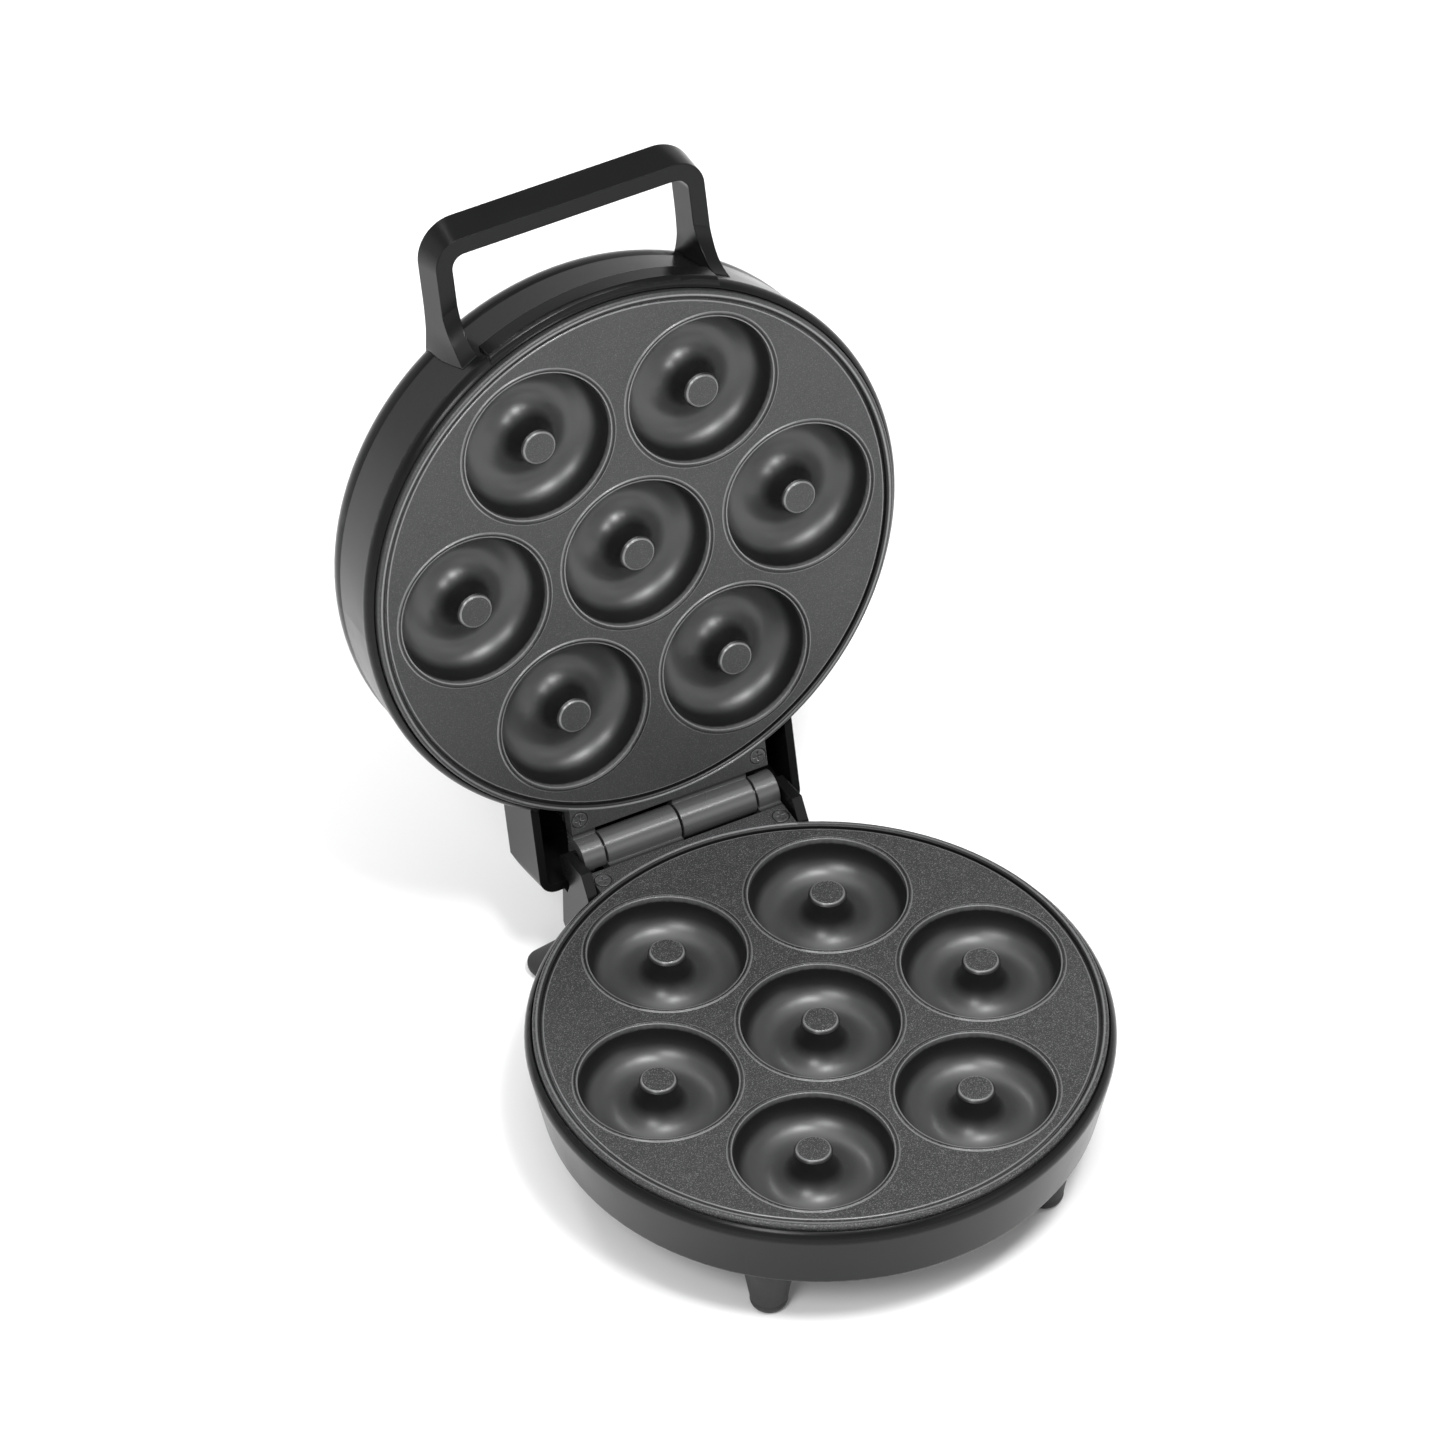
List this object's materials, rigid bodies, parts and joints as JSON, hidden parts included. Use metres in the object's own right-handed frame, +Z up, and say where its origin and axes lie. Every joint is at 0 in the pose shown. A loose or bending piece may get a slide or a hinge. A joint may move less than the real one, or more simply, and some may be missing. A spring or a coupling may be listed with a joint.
{
  "type": "donut maker",
  "caption": "Table-top electric donut maker: round hinged lid and base with ring moulds in two non-stick plates, a strap handle on the lid and tapered feet, shown open.",
  "frame": {"origin": "ground plane, under the middle of the bounding box with the lid at rest (open); the middle of the lower plate is 47.3 mm in front of it", "axes": "+Z up; -Y towards the handle side (front), +Y towards the hinge; +X to the right seen from the front"},
  "size_m": [0.2016, 0.2962, 0.2822],
  "materials": {
    "shell_plastic": "satin moulded black",
    "handle_plastic": "satin moulded black",
    "nonstick_cast": "dark grey non-stick coating on cast aluminium",
    "screw_steel": "blackened steel",
    "element_steel": "heat-tinted steel tube",
    "shield_aluminium": "bright rolled sheet",
    "thermostat_metal": "plated cap",
    "fuse_metal": "plated case",
    "terminal_plastic": "natural nylon",
    "gland_rubber": "soft black",
    "wire_sleeve": "fibre-sleeved wire",
    "pin_steel": "ground steel",
    "foot_plastic": "fine-grained black",
    "red_lens": "clear red",
    "green_lens": "clear green",
    "lamp_glass": "clear glass"
  },
  "bodies": {
    "base": {"lower_housing": "shell_plastic", "bottom_cover": "shell_plastic", "lower_plate": "nonstick_cast", "lower_plate_screws": "screw_steel", "bottom_cover_screws": "screw_steel", "lower_heating_element": "element_steel", "lower_heat_shield": "shield_aluminium", "thermostat": "thermostat_metal", "thermal_fuse": "fuse_metal", "terminal_block": "terminal_plastic", "cord_gland": "gland_rubber", "base_wiring": "wire_sleeve", "hinge_pin_left": "pin_steel", "hinge_pin_right": "pin_steel", "front_left_foot": "foot_plastic", "front_right_foot": "foot_plastic", "rear_left_foot": "foot_plastic", "rear_right_foot": "foot_plastic"},
    "lid": {"upper_housing": "shell_plastic", "handle": "handle_plastic", "upper_plate": "nonstick_cast", "upper_plate_screws": "screw_steel", "handle_screws": "screw_steel", "upper_heating_element": "element_steel", "upper_heat_shield": "shield_aluminium", "lid_wiring": "wire_sleeve", "power_light_lens": "red_lens", "ready_light_lens": "green_lens", "indicator_lamps": "lamp_glass", "lamp_holder": "terminal_plastic"}
  },
  "joints": [
    {"name": "lid_hinge", "type": "hinge", "parent": "base", "child": "lid", "pos_m": [0, 0.0608, 0.0565], "axis": [1, 0, 0], "range_deg": [0, 102.7]}
  ]
}
